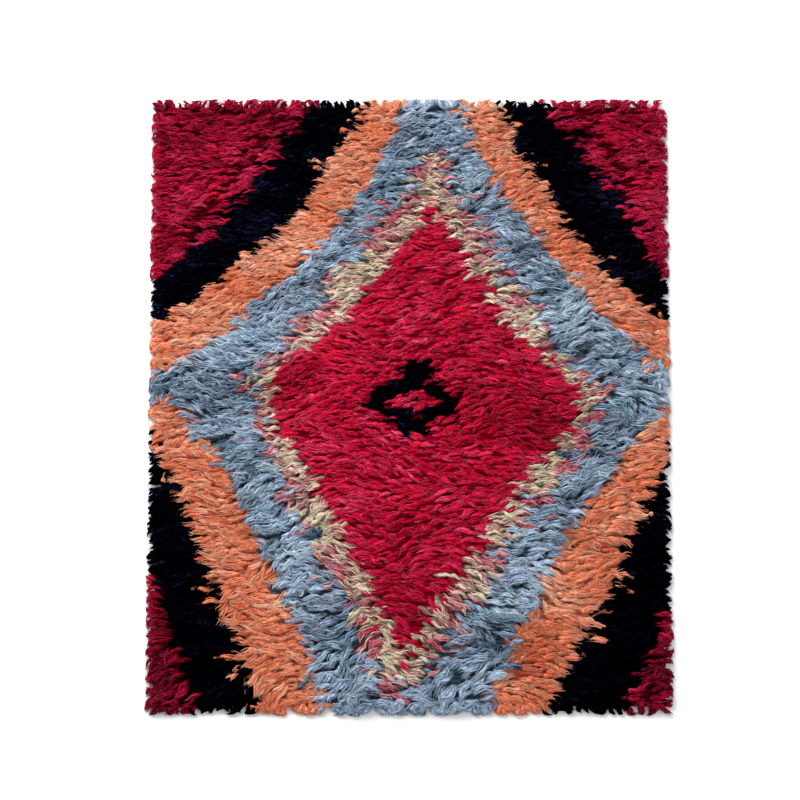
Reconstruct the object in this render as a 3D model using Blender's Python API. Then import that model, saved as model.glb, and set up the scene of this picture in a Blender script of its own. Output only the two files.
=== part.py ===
"""Cut length of a hand-knotted berber rug with a long, lying pile.

Metres, +Z up. The rug lies flat with its origin at the centre of its underside.
Its warp runs along Y and its rows of knots along X. The wool is knotted into the
ground weave and can't be taken off it, so the whole rug is one solid: a slab whose
top is lumpy with rows of lying locks, and whose rim is a row of separate locks that
droop over the cut edge and rest on the floor.
"""

import math
import random

import bmesh
import bpy
from mathutils import Vector, noise

# Driving dimensions
RUG_WIDTH = 0.782  # along X, from lock tip to lock tip
RUG_LENGTH = 1.000  # along Y, from lock tip to lock tip
LOCK_REACH = 0.016  # how far the longest rim lock stands past the cut edge
LOCK_PITCH_ACROSS = 0.0150  # spacing of the locks along the front and back edges
LOCK_PITCH_ALONG = 0.0134  # spacing of the locks along the two sides

# Heights of the pile above the floor
BODY_HEIGHT = 0.0140  # hollows between the lying locks
LUMP_HEIGHT = 0.0080  # what a full lying lock adds near its tip
WAVE_HEIGHT = 0.0022  # slow rise and fall of the whole pile
WAVE_SIZE = 0.11
RIM_HEIGHT = 0.0115  # where the pile turns down at the cut edge
RIM_UNEVENNESS = 0.0025

# The lying locks of the top
LOCK_COLUMNS = (2, 3, 3, 4)  # grid columns that a lock may cover
THINNEST_LOCK = 0.35  # height of the thinnest lock, as a share of a full one
PARTING_DRIFT = 8  # how many columns from the middle a row's locks may part
POINT_JITTER = 0.0024  # how far a point strays from its place in the grid

# The separate locks of the rim, as shares of the lock's root
MIDDLE_WIDTH = 0.66
MIDDLE_HEIGHTS = (0.35, 0.75)
MIDDLE_REACH = 0.55
MIDDLE_SWAY = 0.4
SHORTEST_REACH = 0.5
LOCKS_PER_LONG_ONE = 7  # one lock in this many is as long as a lock can be
TIP_SWAY = 0.0050  # how far a tip leans to one side

WOOL_COLOUR = (0.36, 0.006, 0.040, 1.0)
WOOL_ROUGHNESS = 0.9
SMOOTH_ANGLE = math.radians(50.0)
SEED = 11

BACKING_WIDTH = RUG_WIDTH - 2.0 * LOCK_REACH
BACKING_LENGTH = RUG_LENGTH - 2.0 * LOCK_REACH
COLUMNS = round(BACKING_WIDTH / LOCK_PITCH_ACROSS)
ROWS = round(BACKING_LENGTH / LOCK_PITCH_ALONG)


def clear_scene():
    for item in list(bpy.data.objects):
        bpy.data.objects.remove(item, do_unlink=True)


def wool_material():
    material = bpy.data.materials.new("crimson wool")
    material.use_nodes = True
    shader = material.node_tree.nodes["Principled BSDF"]
    shader.inputs["Base Color"].default_value = WOOL_COLOUR
    shader.inputs["Roughness"].default_value = WOOL_ROUGHNESS
    shader.inputs["Metallic"].default_value = 0.0
    material.diffuse_color = WOOL_COLOUR
    return material


def lying_lock_heights(count, random_source):
    """Heights that a run of locks adds to a row, from where the row parts outwards.

    Each lock rises from its root to its tip and drops to the root of the next.
    """
    heights = []
    while len(heights) < count:
        columns = random_source.choice(LOCK_COLUMNS)
        full = LUMP_HEIGHT * random_source.uniform(THINNEST_LOCK, 1.0)
        heights += [full * (place + 1) / columns for place in range(columns)]
    return heights[:count]


def row_heights(random_source):
    """Heights that the locks add along one row, with a parting near its middle.

    The locks lie away from the parting: to the left on its left side.
    """
    parting = COLUMNS // 2 + random_source.randint(-PARTING_DRIFT, PARTING_DRIFT)
    left = lying_lock_heights(parting, random_source)
    right = lying_lock_heights(COLUMNS + 1 - parting, random_source)
    return left[::-1] + right


def shape_top(top, random_source):
    """Moves the points of the flat grid to the lumpy top of the pile."""
    lumps = [row_heights(random_source) for row in range(ROWS + 1)]
    for point in top.verts:
        column = round((point.co.x / BACKING_WIDTH + 0.5) * COLUMNS)
        row = round((point.co.y / BACKING_LENGTH + 0.5) * ROWS)
        if column in (0, COLUMNS) or row in (0, ROWS):
            point.co.z = RIM_HEIGHT + random_source.uniform(-RIM_UNEVENNESS, RIM_UNEVENNESS)
            continue
        wave = noise.noise(Vector((point.co.x, point.co.y, 0.0)) / WAVE_SIZE)
        point.co.z = BODY_HEIGHT + lumps[row][column] + WAVE_HEIGHT * wave
        point.co.x += random_source.uniform(-POINT_JITTER, POINT_JITTER)
        point.co.y += random_source.uniform(-POINT_JITTER, POINT_JITTER)


def add_skirt_and_underside(slab):
    """Drops a wall from the rim of the top to the floor and closes it underneath."""
    rim_edges = [edge for edge in slab.edges if edge.is_boundary]
    skirt = bmesh.ops.extrude_edge_only(slab, edges=rim_edges)["geom"]
    for item in skirt:
        if isinstance(item, bmesh.types.BMVert):
            item.co.z = 0.0
    walls = [item for item in skirt if isinstance(item, bmesh.types.BMFace)]
    floor_edges = [edge for edge in slab.edges if edge.is_boundary]
    bmesh.ops.contextual_create(slab, geom=floor_edges)
    return walls


def outward_direction(centre):
    """Which way the wall at this place faces: along X at the sides, Y at the ends."""
    if abs(centre.x) / BACKING_WIDTH > abs(centre.y) / BACKING_LENGTH:
        return Vector((math.copysign(1.0, centre.x), 0.0, 0.0))
    return Vector((0.0, math.copysign(1.0, centre.y), 0.0))


def lock_reaches(count, random_source):
    """How far each rim lock stands out, a few of them as far as a lock can."""
    reaches = []
    for number in range(count):
        is_long = number % LOCKS_PER_LONG_ONE == 0
        share = 1.0 if is_long else random_source.uniform(SHORTEST_REACH, 1.0)
        reaches.append(LOCK_REACH * share)
    return reaches


def grow_rim_locks(slab, walls, random_source):
    """Draws each wall face out into a four-sided lock that rests on the floor."""
    drawn = bmesh.ops.extrude_discrete_faces(slab, faces=walls)["faces"]
    reaches = lock_reaches(len(drawn), random_source)
    tips = []
    for face, reach in zip(drawn, reaches):
        root = face.calc_center_median()
        outward = outward_direction(root)
        sideways = Vector((-outward.y, outward.x, 0.0))
        sway = sideways * random_source.uniform(-TIP_SWAY, TIP_SWAY)
        middle = root + outward * (reach * MIDDLE_REACH) + sway * MIDDLE_SWAY
        middle_height = random_source.uniform(*MIDDLE_HEIGHTS)
        for corner in face.verts:
            across = (corner.co - root).dot(sideways)
            height = corner.co.z * middle_height
            corner.co = middle + sideways * (across * MIDDLE_WIDTH)
            corner.co.z = height
        tip = root + outward * reach + sway
        tip.z = 0.0
        tips.append(tip)
    for face, tip in zip(drawn, tips):
        point = bmesh.ops.poke(slab, faces=[face])["verts"][0]
        point.co = tip


def build_rug():
    random_source = random.Random(SEED)
    slab = bmesh.new()
    bmesh.ops.create_grid(slab, x_segments=COLUMNS, y_segments=ROWS, size=0.5)
    for point in slab.verts:
        point.co.x *= BACKING_WIDTH
        point.co.y *= BACKING_LENGTH
    shape_top(slab, random_source)
    walls = add_skirt_and_underside(slab)
    grow_rim_locks(slab, walls, random_source)
    bmesh.ops.triangulate(slab, faces=[face for face in slab.faces if len(face.verts) > 3])
    bmesh.ops.recalc_face_normals(slab, faces=slab.faces)

    mesh = bpy.data.meshes.new("rug")
    slab.to_mesh(mesh)
    slab.free()
    mesh.shade_smooth()
    mesh.set_sharp_from_angle(angle=SMOOTH_ANGLE)
    mesh.materials.append(wool_material())
    rug = bpy.data.objects.new("rug", mesh)
    bpy.context.scene.collection.objects.link(rug)
    return rug


clear_scene()
build_rug()
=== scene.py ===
"""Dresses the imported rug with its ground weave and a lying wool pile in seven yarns.

Laid out as an add-on and run as a script. Every size is in metres in the frame's own
axes: +X across the rug, +Y along it, +Z up, with the origin under its middle.
"""

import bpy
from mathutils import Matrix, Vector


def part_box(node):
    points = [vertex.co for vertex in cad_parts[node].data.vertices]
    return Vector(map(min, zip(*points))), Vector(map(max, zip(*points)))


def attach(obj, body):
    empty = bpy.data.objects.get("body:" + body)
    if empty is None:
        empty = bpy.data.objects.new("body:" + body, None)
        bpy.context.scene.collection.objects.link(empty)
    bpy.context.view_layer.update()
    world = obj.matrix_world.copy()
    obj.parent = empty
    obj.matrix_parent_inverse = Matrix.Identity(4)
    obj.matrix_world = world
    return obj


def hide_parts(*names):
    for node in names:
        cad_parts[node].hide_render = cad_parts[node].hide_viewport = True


bl_info = {
    "name": "Berber Rug",
    "version": (1, 0, 0),
    "blender": (4, 5, 0),
    "location": "3D View > Sidebar > Rug",
    "description": "Knots a lying wool pile in bands of colour into a ground weave",
    "category": "Object",
}

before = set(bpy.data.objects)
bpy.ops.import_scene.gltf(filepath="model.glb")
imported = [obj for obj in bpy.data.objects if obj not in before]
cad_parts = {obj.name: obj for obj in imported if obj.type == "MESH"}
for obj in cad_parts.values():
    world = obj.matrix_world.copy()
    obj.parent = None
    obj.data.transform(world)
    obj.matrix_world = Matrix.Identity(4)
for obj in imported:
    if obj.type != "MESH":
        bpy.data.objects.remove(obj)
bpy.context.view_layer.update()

import math

import bpy
import numpy as np
from bpy.props import EnumProperty, FloatProperty, FloatVectorProperty, IntProperty, PointerProperty
from bpy.types import Operator, Panel, PropertyGroup
from mathutils import Vector

# The rug as the frame has it
RUG_NODE = "rug"
RUG_LOW, RUG_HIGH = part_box(RUG_NODE)
RUG_WIDTH = RUG_HIGH[0] - RUG_LOW[0]
RUG_LENGTH = RUG_HIGH[1] - RUG_LOW[1]

# The rug in the photograph's frame, in pixels. Its near half looks longer, so its middle
# lies a little above its outline's.
PHOTO_PIXELS = 800.0
RUG_PIXELS_ACROSS = 525.0
RUG_MIDDLE_PIXEL = (409.5, 400.5)
METRES_PER_PIXEL = RUG_WIDTH / RUG_PIXELS_ACROSS

# The lozenge. Its upright axis leans to the right towards the far end.
LOZENGE_MIDDLE = (0.0067, 0.0017)
LOZENGE_LEAN = 0.050

# Outer edge of each band, in the lozenge's four quarters. A pinch of 1 is a straight side
# and a smaller one draws the side in to a hollow curve.
# band, then reach across, reach along and pinch of the far left, far right, near left, near right
BANDS = {
    "red": ((0.274, 0.320, 0.84), (0.268, 0.346, 0.89), (0.246, 0.430, 0.90), (0.312, 0.448, 0.82)),
    "line": ((0.280, 0.390, 0.97), (0.302, 0.428, 0.91), (0.252, 0.480, 1.14), (0.292, 0.490, 1.10)),
    "blue": ((0.517, 0.652, 0.655), (0.455, 0.618, 0.770), (0.393, 1.120, 0.70), (0.416, 1.260, 0.69)),
    "orange": ((0.890, 1.060, 0.51), (0.730, 1.005, 0.57), (0.436, 1.115, 0.90), (0.412, 0.867, 1.21)),
    "black": ((1.310, 2.250, 0.40), (0.560, 0.802, 0.90), (0.500, 1.290, 0.99), (0.545, 1.330, 1.00)),
}

# How far the lozenge's blunt left and right corners reach
BLUNT_CORNERS = {"red": (0.216, 0.250), "line": (0.258, 0.292)}

# The small stepped motif in the middle, block by block: a black ring with a red heart
# yarn, middle across, middle along, half its width, half its length
MOTIF_BLOCKS = (
    ("black", 0.013, 0.050, 0.0290, 0.0150),
    ("black", 0.004, 0.031, 0.0240, 0.0130),
    ("black", 0.031, 0.019, 0.0280, 0.0130),
    ("black", -0.025, 0.016, 0.0220, 0.0140),
    ("black", -0.040, 0.003, 0.0285, 0.0165),
    ("black", -0.027, -0.017, 0.0250, 0.0110),
    ("black", 0.055, -0.005, 0.0240, 0.0180),
    ("black", 0.034, -0.021, 0.0230, 0.0120),
    ("black", 0.005, -0.034, 0.0330, 0.0120),
    ("black", 0.001, -0.047, 0.0200, 0.0095),
    ("red", 0.003, -0.002, 0.0330, 0.0080),
    ("red", 0.001, 0.010, 0.0100, 0.0060),
    ("red", 0.006, -0.017, 0.0110, 0.0065),
)
MOTIF_MIDDLE = (0.010, 0.0)
MOTIF_REACH = 0.085  # how far round its middle the locks are shorter, to keep its steps clear
MOTIF_SHORTENING = 0.30

# Broad patches where the wool is lighter or darker; two of them darken it towards the near corners
# middle across, middle along, reach across, reach along, change of shade
TONE_PATCHES = (
    (0.170, -0.030, 0.070, 0.075, -0.32),
    (-0.150, 0.035, 0.055, 0.030, -0.16),
    (-0.060, 0.115, 0.060, 0.050, 0.18),
    (0.010, -0.320, 0.070, 0.090, -0.30),
    (-0.262, 0.355, 0.060, 0.055, 0.22),
    (-0.340, 0.255, 0.060, 0.050, 0.12),
    (0.325, 0.338, 0.060, 0.055, 0.24),
    (-0.365, -0.445, 0.080, 0.120, -0.36),
    (0.345, -0.460, 0.080, 0.120, -0.34),
    (0.225, 0.132, 0.060, 0.045, 0.22),
    (-0.240, 0.090, 0.070, 0.035, 0.26),
    (-0.340, 0.030, 0.100, 0.024, -0.48),
    (-0.050, -0.455, 0.060, 0.040, 0.12),
    (0.035, 0.425, 0.045, 0.032, -0.28),
    (-0.185, -0.297, 0.040, 0.030, 0.16),
    (-0.148, -0.273, 0.040, 0.045, 0.20),
    (0.210, -0.062, 0.040, 0.030, -0.18),
    (0.142, -0.305, 0.050, 0.050, 0.12),
    (-0.215, 0.015, 0.050, 0.030, -0.22),
    (0.310, 0.055, 0.060, 0.030, 0.20),
    (-0.282, -0.046, 0.035, 0.030, 0.30),
    (0.188, -0.262, 0.050, 0.050, 0.40),
    (0.343, -0.040, 0.050, 0.030, 0.26),
    (-0.200, 0.305, 0.070, 0.060, 0.16),
    (-0.110, 0.262, 0.040, 0.030, 0.20),
    (0.120, 0.334, 0.030, 0.040, 0.18),
    (-0.193, -0.119, 0.030, 0.030, -0.10),
    (0.150, -0.394, 0.040, 0.050, -0.36),
    (-0.340, 0.140, 0.060, 0.030, 0.16),
)

# yarn, share of the usual length, of the usual thickness, curl, strands in a lock, share of the
# usual lift, how far its fine strands are lighter than its wisps (partly their own tone, partly painted
# highlight on the strands on top), and how far they vary
YARN_HANDLE = {
    "crimson": (1.00, 1.05, 1.9, 5, 0.90, 0.10, 0.15),
    "red": (0.98, 1.05, 1.5, 4, 0.70, 0.03, 0.08),
    "black": (0.85, 1.20, 0.8, 2, 0.80, 0.00, 0.05),
    "orange": (0.90, 1.35, 1.8, 5, 0.70, 0.05, 0.11),
    "blue": (1.08, 1.25, 2.6, 5, 1.00, 0.20, 0.18),
    "cream": (0.95, 1.15, 2.4, 4, 0.90, 0.04, 0.12),
    "pink": (1.00, 1.10, 2.7, 4, 0.90, 0.04, 0.14),
}
YARNS = tuple(YARN_HANDLE)

# yarn, painted shade at its root (a factor on its colour; above 1 it is painted light), how far its tips
# are worn, sheen, specular
YARN_FINISH = {
    "crimson": (0.45, 0.45, 0.10, 0.05),
    "red": (0.70, 0.60, 0.12, 0.06),
    "black": (0.50, 0.00, 0.00, 0.00),
    "orange": (1.50, 0.60, 0.25, 0.10),
    "blue": (0.28, 0.40, 0.12, 0.10),
    "cream": (0.68, 0.40, 0.12, 0.10),
    "pink": (0.60, 0.40, 0.12, 0.10),
}

# Each yarn's colours, as a screen shows them
COLOUR_PARTS = ("dark", "body", "light", "tip", "drift")
YARN_COLOURS = {
    "crimson": ((58, 0, 10), (114, 0, 27), (184, 10, 60), (210, 56, 98), (134, 0, 26)),
    "red": ((108, 0, 16), (190, 0, 48), (218, 40, 90), (228, 94, 126), (190, 0, 36)),
    "black": ((1, 1, 4), (2, 2, 5), (3, 3, 15), (26, 30, 52), (5, 4, 15)),
    "orange": ((184, 64, 34), (212, 122, 90), (226, 162, 130), (230, 184, 158), (220, 114, 74)),
    "blue": ((36, 46, 66), (106, 134, 158), (154, 182, 206), (194, 212, 224), (134, 144, 166)),
    "cream": ((140, 116, 96), (206, 194, 160), (222, 214, 184), (226, 220, 202), (196, 160, 150)),
    "pink": ((140, 20, 50), (184, 100, 114), (202, 148, 154), (214, 180, 192), (182, 66, 86)),
}

# Smallest and largest shares of the usual size
LOCK_LENGTHS = (0.74, 1.12)
RIM_LOCK_LENGTHS = (0.45, 0.95)
WISP_WIDTHS = (0.75, 1.15)
STRAND_WIDTHS = (0.70, 1.20)
STRAND_LENGTHS = (0.80, 1.14)

# Where a wisp and a fine strand have their rings, as twentieths of their length
PLAIN_BENDS = ((0, 6, 10, 13, 16, 20), (0, 8, 13, 17, 20))
CURLY_BENDS = ((0, 5, 8, 11, 14, 17, 20), (0, 7, 12, 16, 20))
BLACK_BENDS = ((0, 7, 12, 16, 20), (0, 7, 12, 16, 20))
BENDS = {"black": BLACK_BENDS, "blue": CURLY_BENDS, "cream": CURLY_BENDS, "pink": CURLY_BENDS}
FINE_STEPS = 20

# A strand's three-cornered rings, which are wider than they are high
RING_SIDES = 3
RING_WIDTH = 1.30
RING_HEIGHT = 0.60

COLOUR_MAP = "OFBake"
KNOT_COLOURS = "knots"
SHADE_STRIP = 0.03  # share of the colour map's width that one strand covers
COLUMNS_PER_KNOT = 0.8  # of the ground weave's faces
ROWS_PER_KNOT = 0.6
FLOOR_GAP = 0.0004
NOISE_CELLS = 64

# The mix node's sockets for colours
MIX_FACTOR, MIX_FIRST, MIX_SECOND, MIX_RESULT = 0, 6, 7, 2


def linear(channel):
    """A channel from 0 to 255, as a screen shows it, as linear light."""
    share = channel / 255.0
    if share <= 0.04045:
        return share / 12.92
    return ((share + 0.055) / 1.055) ** 2.4


def colour_property(name, description, screen_colour):
    """A colour that a user may change, given from 0 to 255 as a screen shows it."""
    return FloatVectorProperty(
        name=name,
        description=description,
        subtype="COLOR",
        size=3,
        min=0.0,
        max=1.0,
        default=[linear(channel) for channel in screen_colour],
    )


def number_property(name, description, default, **kind):
    return FloatProperty(name=name, description=description, default=default, min=0.0, **kind)


def length_property(name, description, default):
    return number_property(name, description, default, subtype="DISTANCE", unit="LENGTH")


def angle_property(name, description, degrees):
    default = math.radians(degrees)
    return number_property(name, description, default, subtype="ANGLE", unit="ROTATION")


class RugPileSettings(PropertyGroup):
    """Sizes of the ground weave and of the locks knotted into it."""

    rim_reach: length_property("Rim reach", "How far the rim's locks hang past the cut edge", 0.016)
    weave_thickness: length_property("Weave", "Thickness of the ground weave with its knots", 0.0032)
    row_pitch: length_property("Row pitch", "Spacing of the rows of knots", 0.0056)
    knot_pitch: length_property("Knot pitch", "Spacing of the knots in a row", 0.0150)
    rim_pitch: length_property("Rim pitch", "Spacing of the extra knots along the cut edges", 0.0056)
    lock_length: length_property("Lock length", "Length of a lock of wool from its knot", 0.037)
    wisp_radius: length_property("Wisp radius", "Half the width of the wisp that a lock lies in", 0.0027)
    strand_radius: length_property("Strand radius", "Half the thickness of a fine strand on it", 0.00080)
    near_growth: number_property("Near growth", "How much larger the near end's locks are", 0.12, max=0.5)
    lift: angle_property("Lift", "Usual slope of a lying lock above the floor", 13.0)
    seed: IntProperty(name="Seed", description="Picks another rug of the same kind", default=7, min=0)


class RugYarnColours(PropertyGroup):
    """Colours of each yarn where it is dark, usual and light, at its tips and where it drifts."""

    __annotations__ = {
        f"{yarn}_{part}": colour_property(f"{yarn.title()}, {part}", f"The {yarn} wool's {part}", colour)
        for yarn, colours in YARN_COLOURS.items()
        for part, colour in zip(COLOUR_PARTS, colours)
    }


class RugStageSettings(PropertyGroup):
    """The floor, the lights and the camera."""

    elevation: angle_property("Elevation", "Height of the camera above the floor, as an angle", 67.0)
    distance: length_property("Distance", "From the camera to the rug", 14.0)
    key_power: number_property("Key", "Power of the main soft light", 190.0, unit="POWER")
    fill_power: number_property("Fill", "Power of the second soft light", 50.0, unit="POWER")
    sky: number_property("Room light", "Strength of the light from all round", 0.62)
    floor_colour: colour_property("Floor", "Colour of the plain floor", (240, 240, 240))


# Smooth noise and the pattern


def smooth(share):
    """Eases a share from 0 to 1, level at both ends."""
    return share * share * (3.0 - 2.0 * share)


def blend(first, second, share):
    return first * (1 - share) + second * share


def between(value, low, high):
    return (value > low) & (value < high)


def soft_noise(x, y, size, seed):
    """Smooth noise between -1 and 1 at each place, with bumps about that size across."""
    lattice = np.random.default_rng(seed).uniform(-1.0, 1.0, (NOISE_CELLS, NOISE_CELLS))
    across = x / size + NOISE_CELLS / 2
    along = y / size + NOISE_CELLS / 2
    column = np.floor(across).astype(int)
    row = np.floor(along).astype(int)
    share_across = smooth(across - column)

    def value_in(line):
        left = lattice[line % NOISE_CELLS, column % NOISE_CELLS]
        right = lattice[line % NOISE_CELLS, (column + 1) % NOISE_CELLS]
        return blend(left, right, share_across)

    return blend(value_in(row), value_in(row + 1), smooth(along - row))


def band_measure(band, x, y):
    """1 on the outer edge of a band, less inside it and more outside."""
    along = y - LOZENGE_MIDDLE[1]
    across = x - LOZENGE_MIDDLE[0] - LOZENGE_LEAN * along
    quarter = np.where(along > 0.0, 0, 2) + np.where(across < 0.0, 0, 1)
    reach_across, reach_along, pinch = np.moveaxis(np.array(BANDS[band])[quarter], -1, 0)
    total = (np.abs(across) / reach_across) ** pinch + (np.abs(along) / reach_along) ** pinch
    measure = total ** (1.0 / pinch)
    if band in BLUNT_CORNERS:
        corner = np.where(across < 0.0, *BLUNT_CORNERS[band])
        measure = np.maximum(measure, np.abs(across) / corner)
    return measure


def add_motif(yarn, x, y):
    """Puts the yarns of the small motif in their places, the later blocks over the earlier."""
    for name, middle_x, middle_y, half_x, half_y in MOTIF_BLOCKS:
        inside = (np.abs(x - middle_x) < half_x) & (np.abs(y - middle_y) < half_y)
        yarn[inside] = YARNS.index(name)


def yarn_at(x, y, seed):
    """Which yarn the pattern has at each place, as its number in YARNS."""
    wander = 0.004
    wander_size = 0.055
    bend_x = x + wander * soft_noise(x, y, wander_size, seed + 1)
    bend_y = y + wander * soft_noise(x, y, wander_size, seed + 2)

    # The weaver moves an edge by a knot or two every few rows, so the edges are stepped
    stair = 0.026
    stepping = 0.60
    step_y = stair * (np.floor(bend_y / stair) + 0.5)
    bend_y += stepping * (step_y - bend_y)
    measures = {band: band_measure(band, bend_x, bend_y) for band in BANDS}
    yarn = np.full(x.shape, YARNS.index("crimson"))
    for band in ("black", "orange", "blue"):
        yarn[measures[band] < 1.0] = YARNS.index(band)

    # The line round the red is ragged, and mostly cream on its inner side and pink outside
    tooth_size = 0.011
    blotch_size = 0.022
    cream_share = 0.70
    ragged = 1.01 + 0.10 * soft_noise(x, y, tooth_size, seed + 4)
    line = (measures["line"] < ragged) & (measures["red"] >= 1.0)
    outward = (measures["red"] - 1.0) / np.maximum(measures["red"] - measures["line"], 0.02)
    cream = outward + 0.7 * soft_noise(x, y, blotch_size, seed + 3) < cream_share
    yarn[line] = YARNS.index("pink")
    yarn[line & cream] = YARNS.index("cream")
    yarn[measures["red"] < 1.0] = YARNS.index("red")
    add_motif(yarn, x, y)
    return yarn


def tone_change(x, y):
    """How much lighter or darker the wool is at each place than its yarn usually is."""
    change = np.zeros(x.shape)
    for middle_x, middle_y, reach_x, reach_y, depth in TONE_PATCHES:
        change += depth * np.exp(-(((x - middle_x) / reach_x) ** 2) - ((y - middle_y) / reach_y) ** 2)
    return change


# Locks and strands


def lay_out_knots(pile, draw):
    """Places of the knots, their growth, and for a rim knot the way that it faces."""
    half_width = RUG_WIDTH / 2 - pile.rim_reach - pile.strand_radius
    half_length = RUG_LENGTH / 2 - pile.rim_reach - pile.strand_radius
    places = []
    along = -half_length
    while along <= half_length:
        growth = 1.0 - pile.near_growth * along / half_length
        pitch = pile.knot_pitch * growth
        count = int(2 * half_width / pitch)
        start = -half_width + pitch * draw.uniform(0.0, 1.0)
        across = start + pitch * np.arange(count + 1)
        across = across[across <= half_width]
        places.append(np.stack([across, np.full(across.shape, along)], 1))
        along += pile.row_pitch * growth
    places = np.concatenate(places)
    stray = 0.36
    places += draw.uniform(-stray, stray, places.shape) * (pile.knot_pitch, pile.row_pitch)
    facings = np.full(len(places), np.nan)

    # One more run of knots along each cut edge, closer together, set back unevenly from it
    rim_depth = 0.009
    halves = (half_width, half_length)
    for facing, axis in ((0.0, 0), (math.pi, 0), (math.pi / 2, 1), (-math.pi / 2, 1)):
        half = halves[1 - axis]
        run = np.arange(-half, half, pile.rim_pitch)
        run = run + draw.uniform(-0.5, 0.5, run.shape) * pile.rim_pitch
        side = (math.cos(facing), math.sin(facing))[axis]
        edge = (halves[axis] - draw.uniform(0.0, rim_depth, run.shape)) * side
        pair = (run, edge) if axis else (edge, run)
        places = np.concatenate([places, np.stack(pair, 1)])
        facings = np.concatenate([facings, np.full(run.shape, facing)])

    x = np.clip(places[:, 0], -half_width, half_width)
    y = np.clip(places[:, 1], -half_length, half_length)
    growth = 1.0 - pile.near_growth * y / half_length
    return x, y, growth, facings


def lean_to_right(x, y, seed):
    """The chance at each place that a lock lies to the right and not to the left."""
    # Locks lie outwards from a parting near the middle, which wanders from row to row
    parting = 0.035 + 0.05 * soft_noise(x * 0.0, y, 0.12, seed + 13)
    parting_width = 0.075
    outward = 0.5 + 0.5 * np.tanh((x - parting) / parting_width)
    chance = 0.12 + 0.76 * outward

    # Nearly all those at the orange band's rim lie out over the black, and most of those
    # just past the black band's rim lie back in over it
    right_half = x > LOZENGE_MIDDLE[0]
    orange_edge = band_measure("orange", x, y) + 0.09 * soft_noise(x, y, 0.006, seed + 15)
    chance = np.where(between(orange_edge, 0.80, 1.03), np.where(right_half, 0.97, 0.03), chance)
    past_black = between(band_measure("black", x, y), 0.98, 1.08) & (np.abs(x) < 0.33)
    return np.where(past_black, np.where(right_half, 0.15, 0.85), chance)


def lock_headings(x, y, facings, pile, draw):
    """Which way each lock lies on the floor, as an angle from +X."""
    # They sway more at the near end, and most in the blue
    nearness = 0.5 - y / RUG_LENGTH
    in_blue = (band_measure("line", x, y) > 1.0) & (band_measure("blue", x, y) < 1.0)
    looseness = 0.35 + 1.1 * nearness**2 + 0.25 * in_blue
    sway = looseness * 0.70 * soft_noise(x, y, 0.055, pile.seed + 11)
    sway += looseness * 0.45 * soft_noise(x, y, 0.022, pile.seed + 12)
    sway += in_blue * (0.30 + 0.62 * nearness) * soft_noise(x, y, 0.048, pile.seed + 14)
    sway += draw.normal(0.0, 0.14, x.shape) * (1.0 + 0.4 * in_blue)

    # Those that lie to the left point a little towards the near end
    right_tilt = -0.04
    left_tilt = 0.20
    right = draw.uniform(0.0, 1.0, x.shape) < lean_to_right(x, y, pile.seed)
    heading = np.where(right, sway + right_tilt, sway + math.pi + left_tilt)

    # Near the cut edges many turn out over them
    turning_share = 0.6
    turn_start = 0.012
    turn_depth = 0.010
    half_width = RUG_WIDTH / 2 - pile.rim_reach
    half_length = RUG_LENGTH / 2 - pile.rim_reach
    stray = draw.normal(0.0, 0.30, x.shape)
    for place, half, outside in (
        (x, half_width, np.where(x > 0.0, 0.0, math.pi)),
        (y, half_length, np.where(y > 0.0, math.pi / 2, -math.pi / 2)),
    ):
        share = np.clip((np.abs(place) - (half - turn_start)) / turn_depth, 0.0, 1.0)
        share *= draw.uniform(0.0, 1.0, x.shape) < turning_share
        heading = blend_angles(heading, outside + stray, share)
    rim_stray = 2.2
    return np.where(np.isnan(facings), heading, facings + stray * rim_stray)


def blend_angles(first, second, share):
    across = blend(np.cos(first), np.cos(second), share)
    along = blend(np.sin(first), np.sin(second), share)
    return np.arctan2(along, across)


def tie_locks(pile, draw):
    """Every lock of the pile: its knot, heading, length, yarn and how that yarn handles."""
    x, y, growth, facings = lay_out_knots(pile, draw)
    heading = lock_headings(x, y, facings, pile, draw)
    length = pile.lock_length * growth * draw.uniform(*LOCK_LENGTHS, x.shape)
    rim_length = pile.lock_length * draw.uniform(*RIM_LOCK_LENGTHS, x.shape)
    length = np.where(np.isnan(facings), length, rim_length)
    from_motif = (x - MOTIF_MIDDLE[0]) ** 2 + (y - MOTIF_MIDDLE[1]) ** 2
    length *= 1.0 - MOTIF_SHORTENING * np.exp(-from_motif / MOTIF_REACH**2)

    # The pattern is read where the lock lies, not where it is knotted
    reading_place = 0.78
    reach = reading_place * length
    yarn = yarn_at(x + reach * np.cos(heading), y + reach * np.sin(heading), pile.seed)
    handle = np.array([YARN_HANDLE[name] for name in YARNS])[yarn]
    length_share, thickness, curl, strands, lift_share, lighter, varied = handle.T

    # Ridges and furrows run with the rows, and clumps stand up between them
    ridge = soft_noise(x * 0.16, y, 0.0125, pile.seed + 21)
    clump = soft_noise(x, y, 0.030, pile.seed + 24)
    lift = pile.lift * lift_share * (1.0 + 0.85 * ridge + 0.40 * clump)
    lift += draw.normal(0.0, math.radians(3.5), x.shape)
    streak = soft_noise(x * 0.35, y, 0.016, pile.seed + 22)
    patch = soft_noise(x, y, 0.040, pile.seed + 23)
    # The shade also follows the ridges: painted shade in the furrows and painted light on the ridges
    shade = 0.5 + 0.10 * streak + 0.08 * patch + 0.17 * ridge + draw.normal(0.0, 0.11, x.shape)
    # The blue is set a little darker, as painted shade under its lighter fine strands, and varies in
    # broad patches
    in_blue = yarn == YARNS.index("blue")
    shade += tone_change(x, y) + in_blue * (-0.05 + 0.22 * patch + draw.normal(0.0, 0.08, x.shape))
    return {
        "x": x,
        "y": y,
        "growth": growth,
        "heading": heading,
        "length": length * length_share,
        "yarn": yarn,
        "thickness": thickness,
        "curl": curl,
        "strands": strands.astype(int),
        "lighter": lighter,
        "varied": varied,
        "lift": lift,
        "shade": shade,
    }


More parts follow.
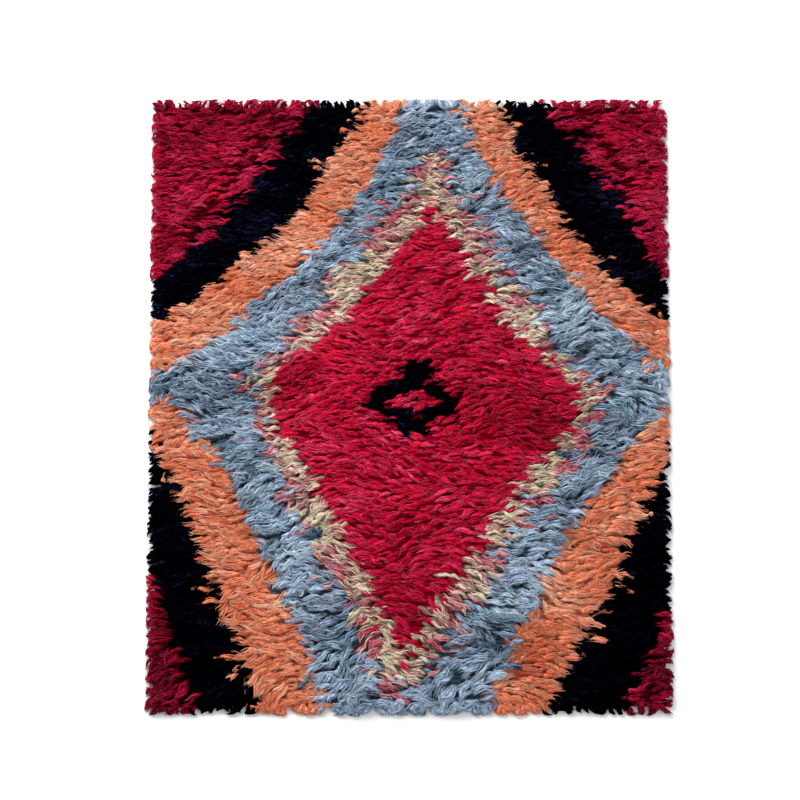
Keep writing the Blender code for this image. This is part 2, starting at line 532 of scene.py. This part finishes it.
def knot_strands(pile):
    """Every strand of the pile. Each lock is one broad wisp with finer strands lying on it."""
    draw = np.random.default_rng(pile.seed)
    locks = tie_locks(pile, draw)
    knots = len(locks["x"])
    lock = np.repeat(np.arange(knots), locks["strands"])
    first = np.cumsum(locks["strands"]) - locks["strands"]
    count = len(lock)
    broad = np.arange(count) == first[lock]
    own = {key: values[lock] for key, values in locks.items()}

    # Some fine strands of the cream and pink line stray into each other's locks
    straying_share = 0.30
    cream, pink = YARNS.index("cream"), YARNS.index("pink")
    in_line = (own["yarn"] == cream) | (own["yarn"] == pink)
    strayed = in_line & ~broad & (draw.uniform(0.0, 1.0, count) < straying_share)

    # What a lock's strands share, then what each has of its own
    wisp = pile.wisp_radius * own["growth"] * own["thickness"] * draw.uniform(*WISP_WIDTHS, knots)[lock]
    radius = pile.strand_radius * own["growth"] * draw.uniform(*STRAND_WIDTHS, count)
    stretch = np.where(broad, 0.96, draw.uniform(*STRAND_LENGTHS, count))
    # Fine strands lying on top are lighter than the wisp under them: partly their own tone, partly
    # painted highlight
    fine_change = own["lighter"] + own["varied"] * draw.normal(0.0, 1.0, count)
    lock_wave = draw.uniform(0.0, math.tau, knots)[lock]
    lock_waves = draw.uniform(0.8, 1.6, knots)[lock] * (0.8 + 0.2 * own["curl"])
    lock_curl = draw.uniform(0.0, 1.0, knots)[lock]
    roll = draw.normal(0.0, 0.30, knots)[lock]
    fanning = np.where(broad, 0.0, 0.035 + 0.025 * np.maximum(own["curl"] - 0.8, 0.0))
    heading = own["heading"] + fanning * draw.normal(0.0, 1.0, count)
    lift = own["lift"] + draw.normal(0.0, math.radians(0.8), count) * own["curl"]
    return {
        "x": own["x"],
        "y": own["y"],
        "yarn": np.where(strayed, cream + pink - own["yarn"], own["yarn"]),
        "heading": heading,
        "length": own["length"] * stretch,
        "wisp": wisp,
        "broad": broad,
        "radius": np.where(broad, wisp, radius),
        "lift": np.clip(lift, 0.02, 0.42),
        "curl": own["curl"] * (0.5 + 0.8 * lock_curl) * draw.uniform(0.85, 1.15, count),
        "place": np.where(broad, 0.0, draw.uniform(-1.1, 1.1, count)),
        "shade": np.clip(own["shade"] + np.where(broad, 0.0, fine_change), 0.02, 0.98),
        "spin": np.where(broad, math.pi / 2 + roll, draw.uniform(0.0, math.tau, count)),
        "lock_wave": lock_wave,
        "lock_waves": lock_waves,
        "wave": draw.uniform(0.0, math.tau, count),
        "waves": draw.uniform(0.9, 1.8, count) * (0.8 + 0.2 * own["curl"]),
    }


def summed(steps):
    """Running sum of each row's steps, from 0."""
    return np.concatenate([np.zeros((len(steps), 1)), np.cumsum(steps, axis=1)], axis=1)


def strand_points(strands, bends, pile):
    """The points that each strand follows, from its knot to its tip."""
    own = {key: values[:, None] for key, values in strands.items()}
    share = np.linspace(0.0, 1.0, FINE_STEPS + 1)[None, :]
    middle = (share[:, 1:] + share[:, :-1]) / 2

    # A strand leaves its knot steeply, bends over at once, lies at its own slope and dips
    # again in its outer half
    steep = math.radians(75.0)
    bend_share = 0.13
    dip = 0.45
    dip_start = 0.50
    knot_height = 0.8 * pile.weave_thickness
    angle = own["lift"] + (steep - own["lift"]) * np.exp(-middle / bend_share)
    angle -= dip * np.maximum(middle - dip_start, 0.0)
    along = summed(np.cos(angle) * own["length"] / FINE_STEPS)
    height = summed(np.sin(angle) * own["length"] / FINE_STEPS) + knot_height

    # The fine strands of a lock lie on its wisp, which is narrow at the knot
    half_width = own["wisp"] * (0.45 + 0.65 * np.minimum(share * 2.0, 1.0))
    sideways = half_width * own["place"]
    on_top = np.where(own["broad"], 0.0, 1.0)
    height += on_top * half_width * (0.62 - 0.55 * own["place"] ** 2)

    # The wisp wanders as a whole, and the strands of curly yarns also each in their own waves
    least_wander = 0.0010
    curl_wander = 0.0009
    strand_wander = 0.00035
    lock_waves = own["lock_wave"] + math.tau * own["lock_waves"] * share
    lock_wander = (least_wander + curl_wander * own["curl"]) * share**0.7
    sideways += lock_wander * np.sin(lock_waves)
    height += 0.45 * lock_wander * np.cos(lock_waves * 1.3)
    waves = own["wave"] + math.tau * own["waves"] * share
    wander = on_top * strand_wander * np.maximum(own["curl"] - 0.4, 0.0) * share**0.5
    sideways += wander * np.sin(waves)
    height += 0.7 * wander * np.cos(waves * 1.2)

    cosine = np.cos(own["heading"])
    sine = np.sin(own["heading"])
    x = own["x"] + along * cosine - sideways * sine
    y = own["y"] + along * sine + sideways * cosine
    points = np.stack([x, y, height], axis=2)[:, list(bends)]
    return droop_over_edges(points, strands, pile)


def droop_over_edges(points, strands, pile):
    """Lets what passes the cut edge hang to the floor, no further out than the rim reaches."""
    fall_distance = 0.026
    reach = pile.rim_reach - pile.strand_radius
    for axis, size in ((0, RUG_WIDTH), (1, RUG_LENGTH)):
        edge = size / 2 - pile.rim_reach
        side = np.sign(points[:, :, axis])
        past = np.maximum(np.abs(points[:, :, axis]) - edge, 0.0)
        kept = reach * np.tanh(past / reach)
        points[:, :, axis] -= side * (past - kept)
        points[:, :, 2] *= 1.0 - smooth(np.clip(past / fall_distance, 0.0, 1.0))
    lowest = strands["radius"][:, None] + FLOOR_GAP
    points[:, :, 2] = np.maximum(points[:, :, 2], lowest)
    return points


def strand_rings(points, strands, bends):
    """Corner points round each strand, three to a ring, and its tip."""
    forward = np.gradient(points, axis=1)
    forward /= np.linalg.norm(forward, axis=2, keepdims=True)
    sideways = np.cross(np.array([0.0, 0.0, 1.0]), forward)
    sideways /= np.maximum(np.linalg.norm(sideways, axis=2, keepdims=True), 1e-6)
    upward = np.cross(forward, sideways)

    # It is fullest near its middle and narrows to its tip
    share = np.array(bends) / FINE_STEPS
    narrowing = 0.45
    fullness = 0.70 + 0.40 * np.sin(math.pi * np.clip(share / 1.15, 0.0, 1.0))
    fullness *= np.clip((1.0 - share) / narrowing, 0.0, 1.0) ** 0.9
    radius = strands["radius"][:, None] * fullness[None, :]
    rings = []
    for side in range(RING_SIDES):
        angle = strands["spin"][:, None] + math.tau * side / RING_SIDES
        across = RING_WIDTH * np.cos(angle)[..., None] * sideways
        up = RING_HEIGHT * np.sin(angle)[..., None] * upward
        rings.append(points + radius[..., None] * (across + up))
    return np.stack(rings, axis=2)[:, :-1], points[:, -1]


def strand_faces(count, rings):
    """Corner numbers of the faces of that many strands: the sides, the tips and the roots."""
    per_strand = rings * RING_SIDES + 1
    first = (np.arange(count) * per_strand)[:, None, None]
    last = (rings - 1) * RING_SIDES
    pairs = [(side, (side + 1) % RING_SIDES) for side in range(RING_SIDES)]
    sides = [
        [start + low, start + high, start + RING_SIDES + high, start + RING_SIDES + low]
        for start in range(0, last, RING_SIDES)
        for low, high in pairs
    ]
    ends = [[last + low, last + high, per_strand - 1] for low, high in pairs]
    ends.append([2, 1, 0])
    return (first + np.array(sides)).reshape(-1, 4), (first + np.array(ends)).reshape(-1, 3)


def strand_map(strands, bends):
    """Colour map places of the face corners: shade across, and the way along the strand up."""
    left = strands["shade"] * (1.0 - SHADE_STRIP)
    share = np.array(bends) / FINE_STEPS

    def corner(around, along):
        return np.stack([left + SHADE_STRIP * around, np.full(len(left), along)], 1)

    quads, triangles = [], []
    pairs = [(side / RING_SIDES, (side + 1) / RING_SIDES) for side in range(RING_SIDES)]
    for here, after in zip(share[:-2], share[1:-1]):
        for low, high in pairs:
            quads += [corner(low, here), corner(high, here), corner(high, after), corner(low, after)]
    for low, high in pairs:
        triangles += [corner(low, share[-2]), corner(high, share[-2]), corner((low + high) / 2, 1.0)]
    triangles += [corner(0.0, 0.0), corner(1.0, 0.0), corner(0.5, 0.02)]
    return np.stack(quads, axis=1).reshape(-1, 2), np.stack(triangles, axis=1).reshape(-1, 2)


def mesh_from_arrays(name, points, quads, triangles, map_places):
    """A smooth mesh from arrays of points, four- and three-cornered faces and map places."""
    mesh = bpy.data.meshes.new(name)
    corners = np.concatenate([quads.ravel(), triangles.ravel()]).astype(np.int32)
    sizes = np.concatenate([np.full(len(quads), 4), np.full(len(triangles), 3)]).astype(np.int32)
    starts = np.concatenate([[0], np.cumsum(sizes)[:-1]]).astype(np.int32)
    mesh.vertices.add(len(points))
    mesh.vertices.foreach_set("co", points.astype(np.float32).ravel())
    mesh.loops.add(len(corners))
    mesh.loops.foreach_set("vertex_index", corners)
    mesh.polygons.add(len(sizes))
    mesh.polygons.foreach_set("loop_start", starts)
    mesh.polygons.foreach_set("loop_total", sizes)
    layer = mesh.uv_layers.new(name=COLOUR_MAP)
    layer.data.foreach_set("uv", map_places.astype(np.float32).ravel())
    mesh.update(calc_edges=True)
    mesh.validate()
    mesh.shade_smooth()
    return mesh


# Nodes that the materials share


def feed(tree, node, inputs):
    """Feeds a node's inputs from other sockets, or sets them to numbers or colours."""
    for name, value in inputs.items():
        socket = node.inputs[name]
        if isinstance(value, bpy.types.NodeSocket):
            tree.links.new(value, socket)
        elif isinstance(value, (int, float)):
            socket.default_value = value
        else:
            socket.default_value = (*value, 1.0)


def add_node(tree, kind, inputs=None, **settings):
    """Adds a node with those settings and inputs."""
    node = tree.nodes.new(kind)
    for name, setting in settings.items():
        setattr(node, name, setting)
    feed(tree, node, inputs or {})
    return node


def math_node(tree, operation, *values, clamp=False):
    """A math node fed by sockets or numbers; returns its result."""
    inputs = dict(enumerate(values))
    return add_node(tree, "ShaderNodeMath", inputs, operation=operation, use_clamp=clamp).outputs[0]


def smooth_range(tree, value, start, end, low, high):
    """Maps a value from start..end to low..high, smoothly and without overshoot."""
    inputs = {"Value": value, "From Min": start, "From Max": end, "To Min": low, "To Max": high}
    return add_node(tree, "ShaderNodeMapRange", inputs, interpolation_type="SMOOTHSTEP").outputs["Result"]


def noise_value(tree, place, scale, detail, roughness):
    """Smooth noise at a place, from 0 to 1."""
    inputs = {"Vector": place, "Scale": scale, "Detail": detail, "Roughness": roughness}
    return add_node(tree, "ShaderNodeTexNoise", inputs).outputs["Fac"]


def position(tree):
    return add_node(tree, "ShaderNodeNewGeometry").outputs["Position"]


def grey_of(tree, value):
    inputs = {"Red": value, "Green": value, "Blue": value}
    return add_node(tree, "ShaderNodeCombineColor", inputs).outputs["Color"]


def mix_colours(tree, blend_type, factor, first, second):
    """A colour mix node fed by sockets, numbers or colours; returns its result."""
    inputs = {MIX_FACTOR: factor, MIX_FIRST: first, MIX_SECOND: second}
    node = add_node(tree, "ShaderNodeMix", inputs, data_type="RGBA", blend_type=blend_type)
    return node.outputs[MIX_RESULT]


def bumped_normal(tree, height, strength, distance):
    inputs = {"Height": height, "Strength": strength, "Distance": distance}
    return add_node(tree, "ShaderNodeBump", inputs).outputs["Normal"]


def new_group(name, inputs, outputs):
    """A shader node group with those number sockets, the inputs it is given and its end node."""
    group = bpy.data.node_groups.new(name, "ShaderNodeTree")
    for socket, default in inputs.items():
        made = group.interface.new_socket(socket, in_out="INPUT", socket_type="NodeSocketFloat")
        made.default_value = default
    for socket in outputs:
        group.interface.new_socket(socket, in_out="OUTPUT", socket_type="NodeSocketFloat")
    return group, group.nodes.new("NodeGroupInput").outputs, group.nodes.new("NodeGroupOutput")


def add_group(tree, name, build, inputs=None):
    """Places a shader node group, built the first time that a material needs it."""
    group = bpy.data.node_groups.get(name) or build(name)
    return add_node(tree, "ShaderNodeGroup", inputs, node_tree=group).outputs


def strand_place_group(name):
    """Where on its strand a point lies: shade, way along, the painted shade near its knot and how near
    the tip.
    """
    inputs = {"Painted root shade": 0.3, "Root end": 0.5, "Tip start": 0.7}
    group, given, result = new_group(name, inputs, ("Shade", "Along", "Light", "Tip"))
    place = add_node(group, "ShaderNodeUVMap", uv_map=COLOUR_MAP).outputs["UV"]
    split = add_node(group, "ShaderNodeSeparateXYZ", {"Vector": place}).outputs
    light = smooth_range(group, split["Y"], 0.0, given["Root end"], given["Painted root shade"], 1.0)
    tip = smooth_range(group, split["Y"], given["Tip start"], 1.0, 0.0, 1.0)
    feed(group, result, {"Shade": split["X"], "Along": split["Y"], "Light": light, "Tip": tip})
    return group


def wool_fibre_group(name):
    """Fine fibres that run along a strand, as a streak and as a height."""
    inputs = {"Shade": 0.0, "Along": 0.0, "Fibres": 180.0, "Waves": 5.0, "Twist": 2.5}
    group, given, result = new_group(name, inputs, ("Streak", "Height"))
    twist = math_node(group, "MULTIPLY", given["Along"], given["Twist"])
    straight = math_node(group, "MULTIPLY", given["Shade"], given["Fibres"])
    across = math_node(group, "ADD", straight, twist)
    along = math_node(group, "MULTIPLY", given["Along"], given["Waves"])
    place = add_node(group, "ShaderNodeCombineXYZ", {"X": across, "Y": along}).outputs["Vector"]
    noise = noise_value(group, place, scale=1.0, detail=3.0, roughness=0.6)
    streak = smooth_range(group, noise, 0.36, 0.64, 0.0, 1.0)
    feed(group, result, {"Streak": streak, "Height": noise})
    return group


def dye_drift_group(name):
    """How far the dye has drifted at a place, in broad patches with finer ones in them."""
    group, given, result = new_group(name, {"Patches": 22.0, "Amount": 0.70}, ("Amount",))
    noise = noise_value(group, position(group), given["Patches"], detail=4.0, roughness=0.65)
    patch = smooth_range(group, noise, 0.40, 0.62, 0.0, 1.0)
    feed(group, result, {"Amount": math_node(group, "MULTIPLY", patch, given["Amount"])})
    return group


def weave_group(name):
    """Over and under of the ground weave: ridges of weft crossed by the warp."""
    inputs = {"Warp": 520.0, "Weft": 900.0, "Unevenness": 0.35}
    group, given, result = new_group(name, inputs, ("Height", "Thread"))
    place = position(group)
    split = add_node(group, "ShaderNodeSeparateXYZ", {"Vector": place}).outputs
    noise = noise_value(group, place, scale=90.0, detail=2.0, roughness=0.5)
    warp = math_node(group, "SINE", math_node(group, "MULTIPLY", split["X"], given["Warp"]))
    weft = math_node(group, "SINE", math_node(group, "MULTIPLY", split["Y"], given["Weft"]))
    crossing = math_node(group, "ADD", math_node(group, "MULTIPLY", warp, 0.5), weft)
    uneven = math_node(group, "MULTIPLY", noise, given["Unevenness"])
    height = math_node(group, "ADD", crossing, uneven)
    # Thread darkens the weave where it lies low, as painted shade between the threads, and also sets its
    # roughness
    thread = smooth_range(group, height, -1.2, 1.4, 0.45, 1.0)
    feed(group, result, {"Height": height, "Thread": thread})
    return group


# Materials and pieces


def new_material(name):
    """A material with its node tree and its shader."""
    material = bpy.data.materials.new(name)
    material.use_nodes = True
    return material, material.node_tree, material.node_tree.nodes["Principled BSDF"]


def yarn_ramp(tree, shade, dark, body, light, tip):
    """Colours the shade from dark through the usual colour and light to the palest."""
    ramp = add_node(tree, "ShaderNodeValToRGB", {"Fac": shade})
    stops = ramp.color_ramp.elements
    stops[0].position, stops[0].color = 0.05, (*dark, 1.0)
    stops[1].position, stops[1].color = 1.0, (*tip, 1.0)
    stops.new(0.45).color = (*body, 1.0)
    stops.new(0.80).color = (*light, 1.0)
    return ramp.outputs["Color"]


def yarn_material(name, colours):
    """Wool of one yarn: shaded strand by strand, with painted shade at the knot (painted light in the
    orange), and worn pale at the tip.
    """
    material, tree, shader = new_material(f"{name} wool")
    dark, body, light, tip, drifted = (getattr(colours, f"{name}_{part}") for part in COLOUR_PARTS)
    painted_root_shade, wear, sheen, specular = YARN_FINISH[name]
    inputs = {"Painted root shade": painted_root_shade, "Root end": 0.55, "Tip start": 0.72}
    place = add_group(tree, "Strand place", strand_place_group, inputs)
    inputs = {"Shade": place["Shade"], "Along": place["Along"]}
    fibre = add_group(tree, "Wool fibre", wool_fibre_group, inputs)
    drift = add_group(tree, "Dye drift", dye_drift_group)

    # The fibre streak darkens the colour where the fibres lie low: partly their own tone, partly painted
    # shade in the grooves between them
    swing = math_node(tree, "MULTIPLY_ADD", fibre["Streak"], 0.60, -0.30)
    shade = math_node(tree, "ADD", place["Shade"], swing, clamp=True)
    colour = yarn_ramp(tree, shade, dark, body, light, tip)
    colour = mix_colours(tree, "COLOR", drift["Amount"], colour, drifted)
    worn = math_node(tree, "MULTIPLY", place["Tip"], wear)
    colour = mix_colours(tree, "MIX", worn, colour, tip)
    # Painted shade: the colour is multiplied down towards the knot, or up as painted light where the
    # factor is above 1
    colour = mix_colours(tree, "MULTIPLY", 1.0, colour, grey_of(tree, place["Light"]))
    inputs = {
        "Base Color": colour,
        "Roughness": smooth_range(tree, fibre["Streak"], 0.0, 1.0, 0.78, 0.60),
        "Normal": bumped_normal(tree, fibre["Height"], strength=0.7, distance=0.0010),
        "Specular IOR Level": specular,
        "Sheen Weight": sheen,
        "Sheen Roughness": 0.45,
        "Sheen Tint": light,
    }
    feed(tree, shader, inputs)
    return material


def weave_material():
    """The ground weave in its own knots' colours, with painted shade darkening it between the threads."""
    material, tree, shader = new_material("ground weave")
    knots = add_node(tree, "ShaderNodeVertexColor", layer_name=KNOT_COLOURS).outputs["Color"]
    weave = add_group(tree, "Ground weave", weave_group)
    inputs = {
        "Base Color": mix_colours(tree, "MULTIPLY", 1.0, knots, grey_of(tree, weave["Thread"])),
        "Roughness": smooth_range(tree, weave["Thread"], 0.45, 1.0, 0.95, 0.80),
        "Normal": bumped_normal(tree, weave["Height"], strength=0.6, distance=0.0006),
        "Specular IOR Level": 0.02,
    }
    feed(tree, shader, inputs)
    return material


def show(piece, material):
    """Puts a piece in the scene with its material, on the rug's own body."""
    piece.data.materials.append(material)
    bpy.context.scene.collection.objects.link(piece)
    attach(piece, "root")
    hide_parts(RUG_NODE)
    return piece


class RUG_OT_ground_weave(Operator):
    """Weaves the ground that the knots are tied in, with their backs in rows underneath"""

    bl_idname = "rug.ground_weave"
    bl_label = "Weave the ground"

    def execute(self, context):
        pile = context.scene.rug_pile
        width = RUG_WIDTH - 2 * pile.rim_reach
        length = RUG_LENGTH - 2 * pile.rim_reach
        columns = round(COLUMNS_PER_KNOT * width / pile.knot_pitch) + 1
        rows = round(ROWS_PER_KNOT * length / pile.row_pitch) + 1
        points = self.lay_threads(width, length, columns, rows, pile)
        quads = self.join_sides(columns, rows)

        # The top fills the left half of the colour map and the back its right half
        flat_map = points[:, :2] / np.array([width, length]) + 0.5
        flat_map[:, 0] *= 0.48
        flat_map[columns * rows :, 0] += 0.51
        no_triangles = np.zeros((0, 3), int)
        mesh = mesh_from_arrays("ground_weave", points, quads, no_triangles, flat_map[quads.ravel()])
        self.colour_knots(mesh, points, quads, pile, context.scene.rug_yarns)
        piece = show(bpy.data.objects.new("ground_weave", mesh), weave_material())
        return {"FINISHED"}

    def lay_threads(self, width, length, columns, rows, pile):
        """Points of the top and then of the back, whose rows of knots stand out in turn."""
        hollow = 0.0008
        unevenness = 0.0003
        across = np.linspace(-width / 2, width / 2, columns)
        along = np.linspace(-length / 2, length / 2, rows)
        across, along = np.meshgrid(across, along)
        knot_row = (np.arange(rows) % 2)[:, None]
        sag = hollow * (1 - knot_row) + unevenness * soft_noise(across, along, 0.012, pile.seed + 31)
        back = FLOOR_GAP + unevenness + np.maximum(sag, 0.0)
        top = pile.weave_thickness + 0.0002 * soft_noise(across, along, 0.02, pile.seed + 32)
        return np.concatenate([np.stack([across, along, z], 2).reshape(-1, 3) for z in (top, back)])

    def join_sides(self, columns, rows):
        """Faces of the top, of the back and of the rim between them."""
        number = np.arange(rows * columns).reshape(rows, columns)
        squares = [number[:-1, :-1], number[:-1, 1:], number[1:, 1:], number[1:, :-1]]
        upper = np.stack(squares, 2).reshape(-1, 4)
        lower = upper[:, ::-1] + number.size
        rim = np.concatenate([number[0, :-1], number[:-1, -1], number[-1, :0:-1], number[:0:-1, 0]])
        after = np.roll(rim, -1)
        walls = np.stack([rim, rim + number.size, after + number.size, after], 1)
        return np.concatenate([upper, lower, walls])

    def colour_knots(self, mesh, points, quads, pile, colours):
        """Gives each face the colour of the yarn knotted there, darkened as its locks' roots are, as
        painted shade under the locks.
        """
        bodies = np.array([[*getattr(colours, f"{name}_body"), 1.0] for name in YARNS])
        painted_root_shade = np.array([YARN_FINISH[name][0] for name in YARNS])
        bodies[:, :3] *= np.clip(painted_root_shade, 0.45, 1.0)[:, None]
        middles = points[quads].mean(axis=1)
        yarn = yarn_at(middles[:, 0], middles[:, 1], pile.seed)
        layer = mesh.color_attributes.new(name=KNOT_COLOURS, type="FLOAT_COLOR", domain="CORNER")
        layer.data.foreach_set("color", np.repeat(bodies[yarn], 4, axis=0).astype(np.float32).ravel())


class RUG_OT_pile(Operator):
    """Knots the locks of one yarn into the ground, in a left and a right piece"""

    bl_idname = "rug.pile"
    bl_label = "Knot the pile"

    yarn: EnumProperty(
        name="Yarn",
        description="Which yarn's locks are knotted in",
        items=[(name, name.title(), f"The {name} locks") for name in YARNS],
    )

    def execute(self, context):
        pile = context.scene.rug_pile
        strands = knot_strands(pile)
        material = yarn_material(self.yarn, context.scene.rug_yarns)
        ours = strands["yarn"] == YARNS.index(self.yarn)
        if not ours.any():
            raise RuntimeError(f"the pattern has no {self.yarn} in it")
        for side in ("left", "right"):
            here = (strands["x"] < LOZENGE_MIDDLE[0]) == (side == "left")
            mesh = self.knot_side(f"pile_{self.yarn}_{side}", strands, ours & here, pile)
            show(bpy.data.objects.new(mesh.name, mesh), material)
        return {"FINISHED"}

    def knot_side(self, name, strands, chosen, pile):
        """One mesh of the chosen wisps and of the fine strands on them."""
        parts = []
        start = 0
        kinds = (chosen & strands["broad"], chosen & ~strands["broad"])
        for kind, bends in zip(kinds, BENDS.get(self.yarn, PLAIN_BENDS)):
            these = {key: values[kind] for key, values in strands.items()}
            rings, tips = strand_rings(strand_points(these, bends, pile), these, bends)
            corners = np.concatenate([rings.reshape(len(tips), -1, 3), tips[:, None, :]], axis=1)
            points = corners.reshape(-1, 3)
            quads, triangles = strand_faces(len(tips), len(bends) - 1)
            parts.append((points, quads + start, triangles + start, *strand_map(these, bends)))
            start += len(points)
        points, quads, triangles, quad_map, triangle_map = map(np.concatenate, zip(*parts))
        return mesh_from_arrays(name, points, quads, triangles, np.concatenate([quad_map, triangle_map]))


class RUG_OT_stage(Operator):
    """Lays the plain floor, hangs the soft lights and sets the camera"""

    bl_idname = "rug.stage"
    bl_label = "Set the stage"

    def execute(self, context):
        stage = context.scene.rug_stage
        self.add_floor(context, stage)
        self.add_lights(context, stage)
        self.add_camera(context, stage)
        context.scene.view_settings.view_transform = "Standard"
        return {"FINISHED"}

    def add_floor(self, context, stage):
        reach = 60.0
        corners = [(-reach, -reach, 0), (reach, -reach, 0), (reach, reach, 0), (-reach, reach, 0)]
        mesh = bpy.data.meshes.new("floor")
        mesh.from_pydata(corners, [], [(0, 1, 2, 3)])
        floor = bpy.data.objects.new("floor", mesh)
        material, tree, shader = new_material("pale floor")
        grain = add_node(tree, "ShaderNodeTexNoise", {"Scale": 3.0}).outputs["Fac"]
        pale = stage.floor_colour
        paler = [min(1.0, channel * 1.03) for channel in pale]
        colour = mix_colours(tree, "MIX", grain, pale, paler)
        feed(tree, shader, {"Base Color": colour, "Roughness": 0.9, "Specular IOR Level": 0.1})
        mesh.materials.append(material)
        context.scene.collection.objects.link(floor)

    def add_lights(self, context, stage):
        # light, power, size, where it hangs
        lights = (
            ("key", stage.key_power, 2.6, Vector((-1.9, 2.3, 2.6))),
            ("fill", stage.fill_power, 3.0, Vector((2.4, -2.2, 3.2))),
        )
        for name, power, size, place in lights:
            data = bpy.data.lights.new(name, "AREA")
            data.energy = power
            data.size = size
            lamp = bpy.data.objects.new(name, data)
            lamp.location = place
            lamp.rotation_mode = "QUATERNION"
            lamp.rotation_quaternion = (-place).to_track_quat("-Z", "Y")
            context.scene.collection.objects.link(lamp)
        world = bpy.data.worlds.new("studio")
        world.use_nodes = True
        background = world.node_tree.nodes["Background"]
        feed(world.node_tree, background, {"Color": (1.0, 1.0, 1.0), "Strength": stage.sky})
        context.scene.world = world

    def add_camera(self, context, stage):
        """Looks along +Y and down, so that the rug fills the photograph's rectangle."""
        off_x = PHOTO_PIXELS / 2 - RUG_MIDDLE_PIXEL[0]
        off_y = (RUG_MIDDLE_PIXEL[1] - PHOTO_PIXELS / 2) / math.sin(stage.elevation)
        aim = Vector((off_x * METRES_PER_PIXEL, off_y * METRES_PER_PIXEL, RUG_HIGH[2] / 2))
        back = Vector((0.0, -math.cos(stage.elevation), math.sin(stage.elevation)))
        data = bpy.data.cameras.new("camera")
        data.sensor_width = 36.0
        data.lens = data.sensor_width * stage.distance / (PHOTO_PIXELS * METRES_PER_PIXEL)
        data.clip_end = 200.0
        camera = bpy.data.objects.new("camera", data)
        camera.location = aim + back * stage.distance
        camera.rotation_mode = "QUATERNION"
        camera.rotation_quaternion = (-back).to_track_quat("-Z", "Y")
        context.scene.collection.objects.link(camera)
        context.scene.camera = camera


class RUG_PT_panel(Panel):
    """The rug's steps and settings"""

    bl_idname = "RUG_PT_panel"
    bl_label = "Berber Rug"
    bl_space_type = "VIEW_3D"
    bl_region_type = "UI"
    bl_category = "Rug"

    def draw(self, context):
        layout = self.layout
        layout.operator(RUG_OT_ground_weave.bl_idname)
        for name in YARNS:
            layout.operator(RUG_OT_pile.bl_idname, text=f"Knot the {name} pile").yarn = name
        layout.operator(RUG_OT_stage.bl_idname)
        for name in SETTINGS:
            settings = getattr(context.scene, name)
            box = layout.box()
            for key in settings.__annotations__:
                box.prop(settings, key)


SETTINGS = {"rug_pile": RugPileSettings, "rug_yarns": RugYarnColours, "rug_stage": RugStageSettings}
CLASSES = (*SETTINGS.values(), RUG_OT_ground_weave, RUG_OT_pile, RUG_OT_stage, RUG_PT_panel)


def register():
    for each in CLASSES:
        bpy.utils.register_class(each)
    for name, group in SETTINGS.items():
        setattr(bpy.types.Scene, name, PointerProperty(type=group))


def unregister():
    for name in SETTINGS:
        delattr(bpy.types.Scene, name)
    for each in reversed(CLASSES):
        bpy.utils.unregister_class(each)


def main():
    register()
    bpy.ops.rug.ground_weave()
    for name in YARNS:
        bpy.ops.rug.pile(yarn=name)
    bpy.ops.rug.stage()


if __name__ == "__main__":
    main()
